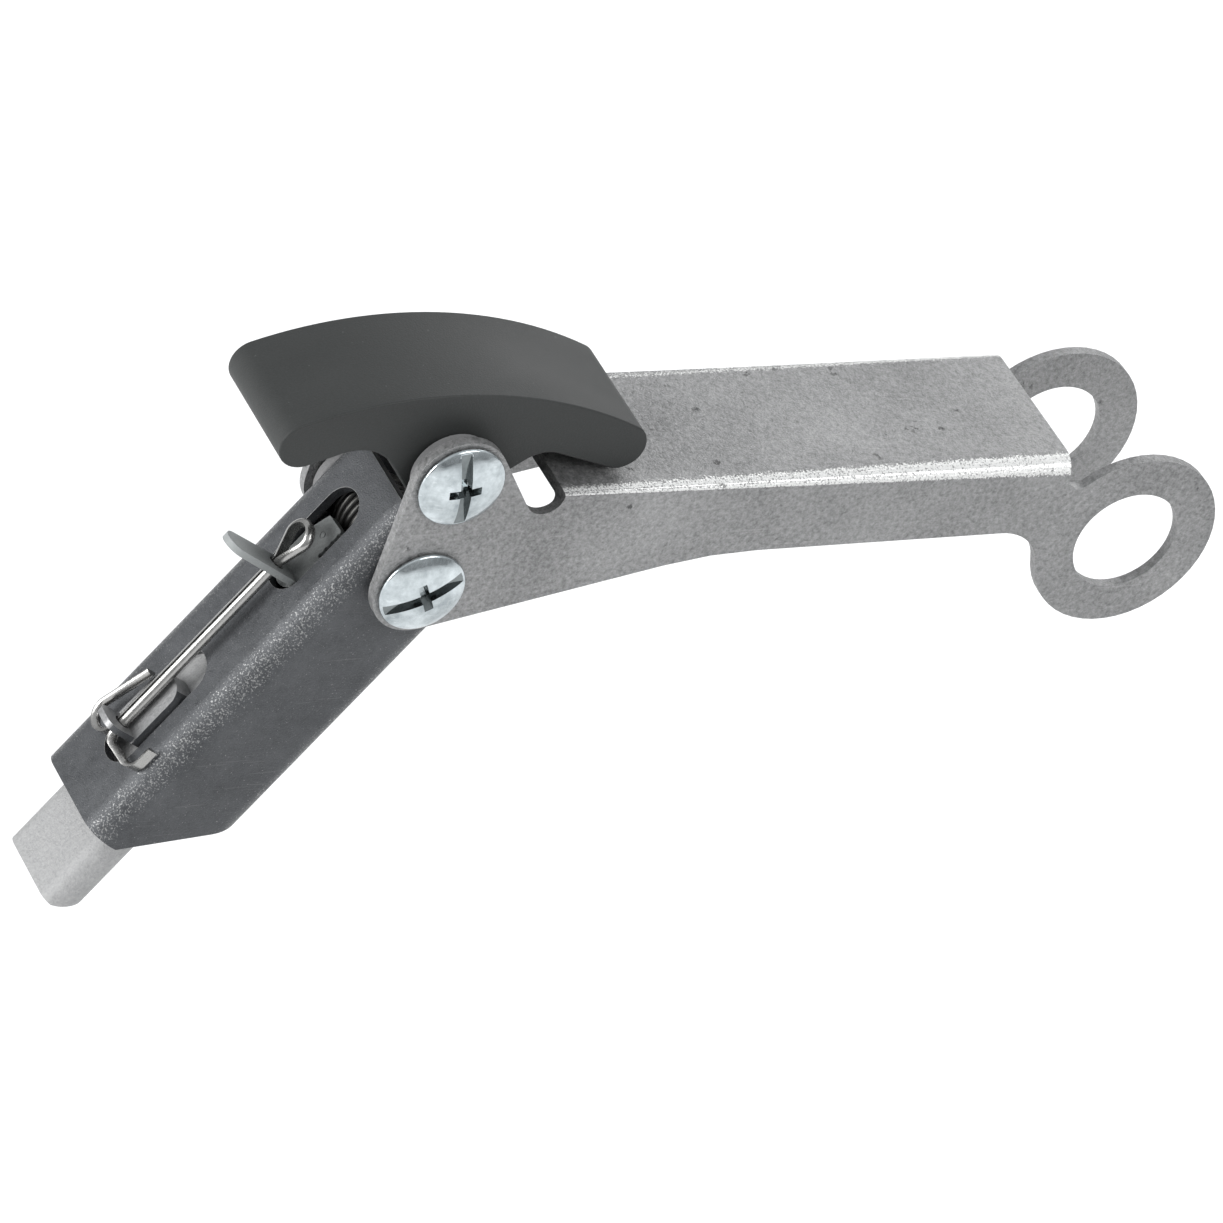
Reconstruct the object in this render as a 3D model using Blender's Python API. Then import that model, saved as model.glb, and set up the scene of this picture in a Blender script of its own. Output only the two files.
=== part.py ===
# Latch lever with a spring bolt: a folded steel channel with two ring eyes, a square tube
# housing that swings on the lower pin, a sliding latch bolt, a finger slider joined to it by
# a split cotter pin, and a rocker trigger on the upper pin. Lengths are in millimetres here
# and turned into metres when each object is made.
import math

import bmesh
import bpy
from mathutils import Matrix, Vector

MM = 0.001
GAP = 0.3

# channel
WIDTH = 38.1
SHEET = 2.2
BEND = 4.0
WEB_TOP = 21.4
WEB_START = -132.2
WEB_END = -18.5
LOWER_EDGE = 4.1
RING_R = 20.2
RING_HOLE_R = 11.65
EAR_R = 9.9
LUG_R = 10.0
NOTCH = (-136.3, 20.9, 4.1)

# pins
LOWER_PIN = (-158.0, 0.0)
UPPER_PIN = (-156.0, 25.4)
BARREL_R = 4.75
BORE_R = BARREL_R + GAP
THREAD_R = 3.1
HEAD_R = 9.0
HEAD_H = 2.7

# tube housing, measured along its own axis from the lower pin
TUBE = 27.9
TUBE_WALL = 2.3
TUBE_CORNER = 5.4
TUBE_DROP = -2.4
TUBE_TOP_END = 10.5
TUBE_LOW_END = -80.5
TILT = math.radians(57.4)
UPPER_SLOT = (-21.5, 3.4, 0.3, 10.4)
LOWER_SLOT = (-69.5, -41.0, -0.5, 9.4)

# bolt, key, slider and cotter pin
BOLT_W = 22.7
BOLT_T = 8.2
BOLT_EDGE = 4.0
BOLT_TOP = 5.4
BOLT_NOSE = -98.9
BOLT_TAIL = -34.0
BOLT_BODY_END = -61.0
KEY_W = 8.6
KEY_START = -48.4
KEY_END = -63.0
TAB_T = 1.3
TAB_HOLE_R = 1.7
COTTER_N = 14.75
COTTER_R = 1.25
COTTER_Y = -0.4
SLIT = 0.12
SLIDER_TAB = (-18.4, -17.0)
SLIDER_TAB_TOP = 29.0

# trigger
TRIGGER_HALF = 13.5
HUB_R = 9.3
PAD_R = 93.0
PAD_TIP_R = 5.2

# springs and sleeve
SLEEVE_R = 6.2
TORSION_R = 7.3
TORSION_WIRE = 0.8
COIL_R = 4.9
COIL_WIRE = 0.7


# ---- outlines -------------------------------------------------------------------------

def directed_tangent(a, b):
    """Points where the straight run leaves circle a and meets circle b; a positive radius
    is rounded anticlockwise and a negative one clockwise."""
    ca, cb = Vector(a[:2]), Vector(b[:2])
    across = cb - ca
    dist = across.length
    e = across / dist
    left = Vector((-e.y, e.x))
    k = max(-1.0, min(1.0, (b[2] - a[2]) / dist))
    m = k * e + math.sqrt(1.0 - k * k) * left
    return ca - a[2] * m, cb - b[2] * m


def arc(circle, start, end, step):
    """Points round one circle of a belt, from the arriving point to the leaving point."""
    c = Vector(circle[:2])
    r = circle[2]
    if abs(r) < 1e-9:
        return [c]
    a0 = math.atan2(start.y - c.y, start.x - c.x)
    a1 = math.atan2(end.y - c.y, end.x - c.x)
    turn = (a1 - a0) % (2 * math.pi) if r > 0 else -((a0 - a1) % (2 * math.pi))
    if abs(turn) > 2 * math.pi - 1e-4:
        turn = 0.0
    count = max(1, math.ceil(abs(turn) / step))
    radius = abs(r)
    points = []
    for i in range(count + 1):
        t = a0 + turn * i / count
        points.append(Vector((c.x + radius * math.cos(t), c.y + radius * math.sin(t))))
    return points


def belt(circles, step=math.radians(9), closed=True):
    """Outline that runs round a chain of circles and corner points with tangent lines."""
    n = len(circles)
    runs = n if closed else n - 1
    lines = [directed_tangent(circles[i], circles[(i + 1) % n]) for i in range(runs)]
    points = []
    for i in range(n):
        if closed:
            start = lines[i - 1][1]
            end = lines[i][0]
        else:
            start = lines[i - 1][1] if i else lines[0][0]
            end = lines[i][0] if i < runs else lines[-1][1]
        points += arc(circles[i], start, end, step)
    clean = []
    for p in points:
        if not clean or (p - clean[-1]).length > 1e-4:
            clean.append(p)
    if closed and (clean[0] - clean[-1]).length <= 1e-4:
        clean.pop()
    return clean


def circle_points(x, z, r, count=48):
    """Points of a full circle."""
    steps = [2 * math.pi * i / count for i in range(count)]
    return [Vector((x + r * math.cos(t), z + r * math.sin(t))) for t in steps]


def rounded_box(half_a, half_b, r, a=0.0, b=0.0, step=math.radians(11.25)):
    """Rectangle outline with rounded corners."""
    ia, ib = half_a - r, half_b - r
    corners = [(a + ia, b - ib, r), (a + ia, b + ib, r), (a - ia, b + ib, r), (a - ia, b - ib, r)]
    return belt(corners, step)


# ---- meshes ---------------------------------------------------------------------------

def finish_mesh(bm, name):
    """Turn a millimetre bmesh into a mesh in metres with its faces pointing out."""
    bmesh.ops.remove_doubles(bm, verts=bm.verts, dist=1e-5)
    bmesh.ops.recalc_face_normals(bm, faces=bm.faces)
    bmesh.ops.scale(bm, vec=(MM, MM, MM), verts=bm.verts)
    mesh = bpy.data.meshes.new(name)
    bm.to_mesh(mesh)
    bm.free()
    return mesh


def prism_bm(outline, low, high, plane="xz"):
    """Solid made by pushing an outline along the axis it faces, from low to high."""
    bm = bmesh.new()
    place = {
        "xz": lambda p, h: (p.x, h, p.y),
        "xy": lambda p, h: (p.x, p.y, h),
        "yz": lambda p, h: (h, p.x, p.y),
    }[plane]
    lower = [bm.verts.new(place(p, low)) for p in outline]
    upper = [bm.verts.new(place(p, high)) for p in outline]
    bm.faces.new(lower)
    bm.faces.new(list(reversed(upper)))
    n = len(outline)
    for i in range(n):
        j = (i + 1) % n
        bm.faces.new((lower[j], lower[i], upper[i], upper[j]))
    return bm


def lathe_bm(profile, count=48):
    """Solid of revolution about Y from (radius, y) points that start and end on the axis
    or close on themselves as a ring."""
    bm = bmesh.new()
    closed_ring = all(r > 1e-9 for r, _ in profile)
    rings = []
    for r, y in profile:
        if r <= 1e-9:
            rings.append([bm.verts.new((0.0, y, 0.0))])
            continue
        ring = []
        for i in range(count):
            t = 2 * math.pi * i / count
            ring.append(bm.verts.new((r * math.cos(t), y, r * math.sin(t))))
        rings.append(ring)
    pairs = list(zip(rings, rings[1:]))
    if closed_ring:
        pairs.append((rings[-1], rings[0]))
    for a, b in pairs:
        for i in range(count):
            j = (i + 1) % count
            if len(a) == 1:
                bm.faces.new((a[0], b[i], b[j]))
            elif len(b) == 1:
                bm.faces.new((a[i], b[0], a[j]))
            else:
                bm.faces.new((a[i], b[i], b[j], a[j]))
    return bm


def sweep_bm(path, frames, section):
    """Solid made by carrying a section along a path; frames gives the two section axes."""
    bm = bmesh.new()
    rings = []
    for p, (side, up) in zip(path, frames):
        rings.append([bm.verts.new(p + side * a + up * b) for a, b in section])
    n = len(section)
    for a, b in zip(rings, rings[1:]):
        for i in range(n):
            j = (i + 1) % n
            bm.faces.new((a[i], a[j], b[j], b[i]))
    bm.faces.new(list(reversed(rings[0])))
    bm.faces.new(rings[-1])
    return bm


def material(name, color, rough, metal):
    """Plain Principled material of one sub-part."""
    mat = bpy.data.materials.new(name)
    mat.use_nodes = True
    shader = mat.node_tree.nodes["Principled BSDF"]
    shader.inputs["Base Color"].default_value = (*color, 1.0)
    shader.inputs["Roughness"].default_value = rough
    shader.inputs["Metallic"].default_value = metal
    return mat


def make(name, bm, mat):
    """Link a named object that holds one solid."""
    obj = bpy.data.objects.new(name, finish_mesh(bm, name))
    bpy.context.scene.collection.objects.link(obj)
    obj.data.materials.append(mat)
    return obj


def cut(obj, bm, mode="DIFFERENCE"):
    """Apply one exact boolean with a throwaway tool solid."""
    tool = bpy.data.objects.new("tool", finish_mesh(bm, "tool"))
    bpy.context.scene.collection.objects.link(tool)
    mod = obj.modifiers.new("cut", "BOOLEAN")
    mod.operation = mode
    mod.solver = "EXACT"
    mod.object = tool
    bpy.context.view_layer.update()
    graph = bpy.context.evaluated_depsgraph_get()
    result = bpy.data.meshes.new_from_object(obj.evaluated_get(graph))
    obj.modifiers.remove(mod)
    old = obj.data
    mats = [m for m in old.materials]
    obj.data = result
    obj.data.materials.clear()
    for m in mats:
        obj.data.materials.append(m)
    bpy.data.meshes.remove(old)
    bpy.data.objects.remove(tool, do_unlink=True)
    tidy = bmesh.new()
    tidy.from_mesh(obj.data)
    bmesh.ops.remove_doubles(tidy, verts=tidy.verts, dist=2e-6)
    bmesh.ops.dissolve_degenerate(tidy, edges=tidy.edges, dist=1e-6)
    tidy.to_mesh(obj.data)
    tidy.free()
    return obj


def smooth(obj, angle=30.0):
    """Shade round walls smooth and keep real corners sharp."""
    obj.data.shade_smooth()
    obj.data.set_sharp_from_angle(angle=math.radians(angle))
    return obj


def on_tube(obj):
    """Seat an object that was drawn along the tube axis, with its origin on the lower pin."""
    obj.location = (LOWER_PIN[0] * MM, 0.0, LOWER_PIN[1] * MM)
    obj.rotation_euler = (0.0, -TILT, 0.0)
    return obj


def shift(bm, x=0.0, y=0.0, z=0.0):
    """Move a bmesh before it becomes an object."""
    bmesh.ops.translate(bm, vec=(x, y, z), verts=bm.verts)
    return bm


# ---- channel --------------------------------------------------------------------------

def channel_outline():
    """Side outline of the folded channel with ears, notch and ring."""
    step_r = 10.5
    ring_fillet_x = -math.sqrt((RING_R + step_r) ** 2 - (LOWER_EDGE - step_r) ** 2)
    valley_r = 3.0
    valley_x = WEB_END + valley_r
    valley_z = math.sqrt((RING_R + valley_r) ** 2 - valley_x ** 2)
    sweep_r = 90.0
    return belt([
        (0.0, 0.0, RING_R),
        (valley_x, valley_z, -valley_r),
        (WEB_END, WEB_TOP, 0.0),
        (WEB_START, WEB_TOP, 0.0),
        (NOTCH[0], NOTCH[1], -NOTCH[2]),
        (UPPER_PIN[0], UPPER_PIN[1], EAR_R),
        (LOWER_PIN[0], LOWER_PIN[1], LUG_R),
        (-85.5, LOWER_EDGE - sweep_r, -sweep_r),
        (ring_fillet_x, LOWER_EDGE - step_r, -step_r),
    ], math.radians(7.5))


def round_web_edges(bm):
    """Round the two long folds along the web."""
    edges = []
    for e in bm.edges:
        a, b = e.verts[0].co, e.verts[1].co
        top = abs(a.z - WEB_TOP) < 1e-4 and abs(b.z - WEB_TOP) < 1e-4
        if top and abs(a.y - b.y) < 1e-4 and abs(a.x - b.x) > 50:
            edges.append(e)
    bmesh.ops.bevel(bm, geom=edges, offset=BEND, segments=8, profile=0.5, affect="EDGES")
    return bm


def channel(mat):
    """Folded sheet channel: web, two flanges, ears and ring eyes."""
    half = WIDTH / 2
    inner = half - SHEET
    bm = prism_bm(channel_outline(), -half, half)
    obj = make("channel", round_web_edges(bm), mat)
    roof = WEB_TOP - SHEET
    inner_bend = BEND - SHEET
    lift = inner - inner_bend
    arch = belt([
        (-inner, -60.0, 0.0),
        (inner, -60.0, 0.0),
        (lift, roof - inner_bend, inner_bend),
        (-lift, roof - inner_bend, inner_bend),
    ])
    cut(obj, prism_bm(arch, -200.0, 60.0, "yz"))
    open_box = [Vector((-inner, -70)), Vector((inner, -70)), Vector((inner, 70)), Vector((-inner, 70))]
    cut(obj, prism_bm(open_box, -200.0, NOTCH[0], "yz"))
    cut(obj, prism_bm(open_box, WEB_END + 1.5, 60.0, "yz"))
    cut(obj, prism_bm(circle_points(0.0, 0.0, RING_HOLE_R, 60), -half - 2, half + 2))
    for x, z in (UPPER_PIN, LOWER_PIN):
        cut(obj, prism_bm(circle_points(x, z, BORE_R), -half - 2, half + 2))
    return smooth(obj)


# ---- pins -----------------------------------------------------------------------------

def head_profile(face):
    """Low domed head outside a flange face, as (radius, y) points from rim to crown."""
    sign = 1.0 if face > 0 else -1.0
    points = []
    dome = (HEAD_R ** 2 + (HEAD_H - 0.7) ** 2) / (2 * (HEAD_H - 0.7))
    for i in range(7):
        r = HEAD_R * (1 - i / 6)
        drop = dome - math.sqrt(dome ** 2 - r ** 2)
        points.append((r, face + sign * (HEAD_H - drop)))
    return points


def screw(name, pin, slot_angle, mat):
    """Truss-head screw with a slot and cross recess; its shank runs inside the barrel."""
    face = -WIDTH / 2 - GAP
    tip = face + 17.0
    profile = [(0.0, tip), (THREAD_R - 0.6, tip), (THREAD_R, tip - 0.8), (THREAD_R, face)]
    profile += [(HEAD_R, face)] + head_profile(face)
    obj = make(name, lathe_bm(profile), mat)
    turn = Matrix.Rotation(-slot_angle, 3, "Y")
    crown = face - HEAD_H
    for half_l, half_w, depth in ((HEAD_R + 1, 1.05, 1.25), (3.1, 0.6, 1.9)):
        outline = [Vector((-half_l, -half_w)), Vector((half_l, -half_w))]
        outline += [Vector((half_l, half_w)), Vector((-half_l, half_w))]
        tool = prism_bm(outline, crown - 1.0, crown + depth)
        if depth > 1.5:
            quarter = Matrix.Rotation(math.radians(90), 3, "Y")
            bmesh.ops.rotate(tool, matrix=quarter, verts=tool.verts)
        bmesh.ops.rotate(tool, matrix=turn, verts=tool.verts)
        cut(obj, tool)
    obj.location = (pin[0] * MM, 0.0, pin[1] * MM)
    return smooth(obj)


def barrel_nut(name, pin, mat):
    """Domed nut whose long barrel is the pivot and takes the screw."""
    face = WIDTH / 2 + GAP
    end = -WIDTH / 2 + 0.1
    floor = end + 20.0
    bore = THREAD_R + GAP
    profile = [(0.0, floor), (bore, floor), (bore, end), (BARREL_R, end), (BARREL_R, face)]
    profile += [(HEAD_R, face)] + head_profile(face)
    obj = make(name, lathe_bm(profile), mat)
    obj.location = (pin[0] * MM, 0.0, pin[1] * MM)
    return smooth(obj)


def ring_piece(name, pin, inner, outer, low, high, mat):
    """Plain washer or sleeve round a pin."""
    edge = 0.25
    profile = [(inner, low), (outer - edge, low), (outer, low + edge)]
    profile += [(outer, high - edge), (outer - edge, high), (inner, high)]
    obj = make(name, lathe_bm(profile), mat)
    obj.location = (pin[0] * MM, 0.0, pin[1] * MM)
    return smooth(obj)


# ---- tube housing ---------------------------------------------------------------------

def obround(low, high, middle, half_w):
    """Slot outline along the tube axis."""
    ends = [(low + half_w, middle, half_w), (high - half_w, middle, half_w)]
    return belt(ends, math.radians(11.25))


def tube_housing(mat):
    """Square tube with two slots, pin holes and a slanting cut under its lower end."""
    half = TUBE / 2
    outer = rounded_box(half, half, TUBE_CORNER, 0.0, TUBE_DROP)
    obj = make("tube_housing", prism_bm(outer, TUBE_LOW_END, TUBE_TOP_END, "yz"), mat)
    inside = rounded_box(half - TUBE_WALL, half - TUBE_WALL, TUBE_CORNER - TUBE_WALL, 0.0, TUBE_DROP)
    cut(obj, prism_bm(inside, TUBE_LOW_END - 5, TUBE_TOP_END + 5, "yz"))
    top = TUBE_DROP + half
    for low, high, middle, width in (UPPER_SLOT, LOWER_SLOT):
        outline = obround(low, high, middle, width / 2)
        cut(obj, prism_bm(outline, top - TUBE_WALL - 1.5, top + 2, "xy"))
    cut(obj, prism_bm(circle_points(0.0, 0.0, BORE_R), -half - 2, half + 2))
    wedge = [Vector((-80.5, 5.0)), Vector((-90.0, 5.0)), Vector((-90.0, -25.0)), Vector((-57.0, -25.0))]
    cut(obj, prism_bm(wedge, -half - 2, half + 2))
    return on_tube(smooth(obj))


# ---- bolt and key ---------------------------------------------------------------------

def bolt(mat):
    """Latch bolt: flat tongue with round edges and a deeper body that runs in the tube."""
    mid = BOLT_TOP - BOLT_T / 2
    tongue = rounded_box(BOLT_W / 2, BOLT_T / 2, BOLT_EDGE, 0.0, mid)
    obj = make("bolt", prism_bm(tongue, BOLT_NOSE, BOLT_TAIL, "yz"), mat)
    floor = TUBE_DROP - TUBE / 2 + TUBE_WALL + GAP
    tall = (BOLT_TOP - 1.0 - floor) / 2
    body = rounded_box(BOLT_W / 2 - 0.15, tall, 3.2, 0.0, floor + tall)
    cut(obj, prism_bm(body, BOLT_BODY_END, BOLT_TAIL - 0.4, "yz"), "UNION")
    cut(obj, prism_bm(circle_points(-56.0, 0.0, 3.3, 32), -20.0, 20.0, "xy"))
    cut(obj, prism_bm(circle_points(-56.0, 0.0, 5.6, 32), floor - 3, floor + 2.2, "xy"))
    low = BOLT_TOP - BOLT_T
    ramp = [Vector((BOLT_NOSE - 2, BOLT_TOP - 1.5)), Vector((BOLT_NOSE, BOLT_TOP - 1.5))]
    ramp += [Vector((BOLT_NOSE + 4.2, low)), Vector((BOLT_NOSE + 4.2, low - 3)), Vector((BOLT_NOSE - 2, low - 3))]
    cut(obj, prism_bm(ramp, -20.0, 20.0))
    return on_tube(smooth(obj))


def key_block(mat):
    """Key that stands on the bolt, rides in the lower slot and ends in an upright tab."""
    top = TUBE_DROP + TUBE / 2
    half = KEY_W / 2
    mid = LOWER_SLOT[2]
    rise = top + 1.6
    outline = belt([
        (KEY_START - 3.2, mid - half + 3.2, 3.2),
        (KEY_START - 4.0, mid + half - 4.0, 4.0),
        (KEY_END, mid + half, 0.0),
        (KEY_END, mid - half, 0.0),
    ], math.radians(11.25))
    obj = make("key_block", prism_bm(outline, BOLT_TOP + GAP, rise, "xy"), mat)
    tab = belt([
        (-4.5, 7.0, 0.0),
        (3.0, 7.0, 0.0),
        (0.5, 17.3, 2.5),
        (-1.9, 17.3, 2.5),
    ], math.radians(11.25))
    cut(obj, prism_bm(tab, KEY_END, KEY_END + TAB_T, "yz"), "UNION")
    flange = [Vector((-9.0, BOLT_TOP + GAP)), Vector((9.0, BOLT_TOP + GAP))]
    flange += [Vector((9.0, 8.9)), Vector((-9.0, 8.9))]
    cut(obj, prism_bm(flange, KEY_END + 0.9, -38.0, "yz"), "UNION")
    stem = circle_points(-56.0, 0.0, 3.0, 32)
    cut(obj, prism_bm(stem, -3.0, BOLT_TOP + 1.0, "xy"), "UNION")
    cut(obj, prism_bm(circle_points(-56.0, 0.0, 1.9, 24), -5.0, 8.0, "xy"))
    hole = circle_points(COTTER_Y, COTTER_N, TAB_HOLE_R, 24)
    cut(obj, prism_bm(hole, KEY_END - 1, KEY_END + TAB_T + 0.6, "yz"))
    return on_tube(smooth(obj))


def key_screw(mat):
    """Countersunk-depth cap screw that pulls the key down onto the bolt from below."""
    floor = TUBE_DROP - TUBE / 2 + TUBE_WALL + GAP
    profile = [(0.0, floor + 0.1), (5.2, floor + 0.1), (5.2, floor + 2.0)]
    profile += [(1.6, floor + 2.0), (1.6, 7.2), (0.0, 7.2)]
    bm = lathe_bm(profile, 32)
    bmesh.ops.rotate(bm, matrix=Matrix.Rotation(math.radians(90), 3, "X"), verts=bm.verts)
    shift(bm, -56.0)
    return on_tube(smooth(make("key_screw", bm, mat)))


# ---- slider and cotter pin --------------------------------------------------------------

def slider(mat):
    """Moulded slider in the upper slot: plate, hidden flange and tall finger tab."""
    low, high = -20.6, -3.9
    outline = belt([
        (low + 4.3, 0.3, 4.3),
        (-10.8, -4.6, 0.0),
        (-10.0, -2.9, 0.0),
        (high - 0.5, -2.3, 0.5),
        (high - 0.7, 2.3, 0.5),
        (-10.0, 4.6, 0.0),
    ], math.radians(11.25))
    obj = make("slider", prism_bm(outline, 8.5, 10.3, "xy"), mat)
    flange = [Vector((-9.5, 5.9)), Vector((9.5, 5.9)), Vector((9.5, 8.8)), Vector((-9.5, 8.8))]
    cut(obj, prism_bm(flange, -19.6, -12.2, "yz"), "UNION")
    half = 3.5
    mid = -0.7
    tab = belt([
        (mid - half, 9.0, 0.0),
        (mid + half, 9.0, 0.0),
        (mid, SLIDER_TAB_TOP - half + 0.4, half - 0.4),
    ], math.radians(11.25))
    cut(obj, prism_bm(tab, SLIDER_TAB[0], SLIDER_TAB[1], "yz"), "UNION")
    hole = circle_points(COTTER_Y, COTTER_N, TAB_HOLE_R, 24)
    cut(obj, prism_bm(hole, SLIDER_TAB[0] - 1, SLIDER_TAB[1] + 1, "yz"))
    return on_tube(smooth(obj))


def cotter_pin(mat):
    """Split pin of half-round wire: teardrop eye, two legs side by side and bent-back ends,
    the near one drooping a little towards the tube."""
    throat = -16.0
    near, far = COTTER_Y - SLIT, COTTER_Y + SLIT
    path2 = belt([
        (-59.8, -10.9, 0.0),
        (-63.2, -7.9, -3.0),
        (-63.6, near - 2.6, -2.6),
        (throat, near, 0.0),
        (-10.1, 0.1, 2.5),
        (throat, far, 0.0),
        (-63.4, far + 3.8, -3.8),
        (-51.0, 3.8, 0.0),
    ], math.radians(15), closed=False)
    path = [Vector((p.x, p.y, COTTER_N + 0.16 * min(0.0, p.y + 2.0))) for p in path2]
    frames = []
    for i in range(len(path)):
        ahead = path[min(i + 1, len(path) - 1)] - path[i]
        behind = path[i] - path[max(i - 1, 0)]
        d = Vector((0, 0, 0))
        for v in (ahead, behind):
            if v.length > 1e-9:
                d += v.normalized()
        d.normalize()
        frames.append((Vector((d.y, -d.x, 0.0)), Vector((0.0, 0.0, 1.0))))
    section = []
    for i in range(9):
        t = -math.pi / 2 + math.pi * i / 8
        section.append((COTTER_R * math.cos(t), COTTER_R * math.sin(t)))
    return on_tube(smooth(make("cotter_pin", sweep_bm(path, frames, section), mat), 40.0))


# ---- trigger ----------------------------------------------------------------------------

def trigger_outline():
    """Side outline of the rocker: arched pad, round tips, two hollows and the hub."""
    base_x = -159.5
    base_z = 42.6 - PAD_R
    reach = PAD_R - PAD_TIP_R
    left_x = -188.2
    right_x = -119.2
    left_z = base_z + math.sqrt(reach ** 2 - (left_x - base_x) ** 2)
    right_z = base_z + math.sqrt(reach ** 2 - (right_x - base_x) ** 2)
    return belt([
        (base_x, base_z, PAD_R),
        (left_x, left_z, PAD_TIP_R),
        (-176.5, 20.3, -10.3),
        (UPPER_PIN[0], UPPER_PIN[1], HUB_R),
        (-135.3, 20.1, -7.2),
        (right_x, right_z, PAD_TIP_R),
    ], math.radians(3))


def trigger(mat):
    """Rocker trigger: full-width pad and hub with the bush bore."""
    bm = prism_bm(trigger_outline(), -TRIGGER_HALF, TRIGGER_HALF)
    edges = []
    for e in bm.edges:
        if abs(e.verts[0].co.y - e.verts[1].co.y) < 1e-6:
            edges.append(e)
    bmesh.ops.bevel(bm, geom=edges, offset=0.6, segments=2, profile=0.5, affect="EDGES")
    shift(bm, -UPPER_PIN[0], 0.0, -UPPER_PIN[1])
    obj = make("trigger", bm, mat)
    cut(obj, prism_bm(circle_points(0.0, 0.0, 6.7), -20.0, 20.0))
    obj.location = (UPPER_PIN[0] * MM, 0.0, UPPER_PIN[1] * MM)
    return smooth(obj)


# ---- springs ----------------------------------------------------------------------------

def wire_bm(path, radius, sides=10):
    """Round wire along a path, with its section turned as little as possible."""
    tangents = []
    for i in range(len(path)):
        a = path[max(i - 1, 0)]
        b = path[min(i + 1, len(path) - 1)]
        tangents.append((b - a).normalized())
    side = tangents[0].orthogonal().normalized()
    frames = []
    for t in tangents:
        side = (side - t * side.dot(t)).normalized()
        frames.append((side, t.cross(side)))
    section = []
    for i in range(sides):
        t = 2 * math.pi * i / sides
        section.append((radius * math.cos(t), radius * math.sin(t)))
    return sweep_bm(path, frames, section)


def bolt_spring(mat):
    """Compression spring between the seat and the tail of the bolt."""
    start, end = -11.6, BOLT_TAIL + 1.0
    turns = 11.0
    count = int(turns * 16)
    path = []
    for i in range(count + 1):
        k = i / count
        a = 2 * math.pi * turns * k
        path.append(Vector((start + (end - start) * k, COIL_R * math.cos(a), -0.4 + COIL_R * math.sin(a))))
    return on_tube(smooth(make("bolt_spring", wire_bm(path, COIL_WIRE, 8), mat), 60.0))


def torsion_spring(mat):
    """Torsion spring wound on the sleeve; one leg bears on the tube floor, one on the hub."""
    first = math.radians(7.2)
    last = math.radians(-56.2) + 2 * math.pi * 5
    y_start, pitch = 7.4, 1.8
    count = 5 * 20
    coil = []
    for i in range(count + 1):
        a = first + (last - first) * i / count
        y = y_start - pitch * (a - first) / (2 * math.pi)
        coil.append(Vector((TORSION_R * math.cos(a), y, TORSION_R * math.sin(a))))
    leg_a = Vector((8.6, y_start, -13.0))
    leg_b = Vector((16.6, coil[-1].y, 2.4))
    path = [leg_a] + coil + [leg_b]
    return on_tube(smooth(make("torsion_spring", wire_bm(path, TORSION_WIRE, 8), mat), 60.0))


def spring_seat(mat):
    """Seat for the bolt spring, held off the sleeve by two feet."""
    half_w = TUBE / 2 - TUBE_WALL - GAP
    low, high = -12.6, 5.4
    outline = rounded_box(half_w, (high - low) / 2, 3.0, 0.0, (high + low) / 2)
    obj = make("spring_seat", prism_bm(outline, -10.7, -8.6, "yz"), mat)
    for y0, y1 in ((-half_w, -2.8), (8.9, half_w)):
        foot = [Vector((y0, -6.0)), Vector((y1, -6.0)), Vector((y1, 4.5)), Vector((y0, 4.5))]
        cut(obj, prism_bm(foot, -9.5, -6.6, "yz"), "UNION")
    cut(obj, prism_bm(circle_points(0.0, -0.4, 3.6, 24), -15.0, -10.0, "yz"), "UNION")
    return on_tube(smooth(obj))


# ---- assembly ---------------------------------------------------------------------------

for old in list(bpy.data.objects):
    bpy.data.objects.remove(old, do_unlink=True)

steel = material("channel_steel", (0.31, 0.32, 0.33), 0.45, 0.9)
dark = material("tube_steel", (0.075, 0.08, 0.09), 0.5, 0.7)
matte = material("bolt_steel", (0.44, 0.44, 0.45), 0.6, 0.7)
zinc = material("zinc_plate", (0.72, 0.77, 0.80), 0.25, 0.95)
bright = material("bright_wire", (0.62, 0.61, 0.59), 0.3, 0.95)
black = material("black_plastic", (0.055, 0.06, 0.058), 0.55, 0.0)
grey = material("grey_plastic", (0.08, 0.1, 0.1), 0.5, 0.0)
spring = material("spring_wire", (0.15, 0.15, 0.14), 0.4, 0.8)
nylon = material("spacer_nylon", (0.12, 0.12, 0.12), 0.5, 0.0)
plain = material("sleeve_steel", (0.4, 0.4, 0.4), 0.4, 0.9)

channel(steel)
screw("upper_screw", UPPER_PIN, math.radians(98.6), zinc)
screw("lower_screw", LOWER_PIN, math.radians(25.9), zinc)
barrel_nut("upper_barrel_nut", UPPER_PIN, zinc)
barrel_nut("lower_barrel_nut", LOWER_PIN, zinc)
inner_face = WIDTH / 2 - SHEET
for label, pin, side in (("upper", UPPER_PIN, TRIGGER_HALF), ("lower", LOWER_PIN, TUBE / 2)):
    low, high = side + GAP, inner_face - GAP
    ring_piece(label + "_near_spacer", pin, BORE_R, 8.4, -high, -low, nylon)
    ring_piece(label + "_far_spacer", pin, BORE_R, 8.4, low, high, nylon)
ring_piece("trigger_bush", UPPER_PIN, BORE_R, 6.4, -TRIGGER_HALF, TRIGGER_HALF, plain)
sleeve_half = TUBE / 2 - TUBE_WALL - GAP
ring_piece("pivot_sleeve", LOWER_PIN, BORE_R, SLEEVE_R, -sleeve_half, sleeve_half, plain)
trigger(black)
tube_housing(dark)
bolt(matte)
key_block(matte)
key_screw(plain)
slider(grey)
cotter_pin(bright)
bolt_spring(spring)
torsion_spring(spring)
spring_seat(plain)
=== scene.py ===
# Coupler latch lever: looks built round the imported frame. Sizes in the piece dictionaries are in
# millimetres and become metres as each mesh is finished.
import math

import bmesh
import bpy
from mathutils import Matrix, Vector


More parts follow.
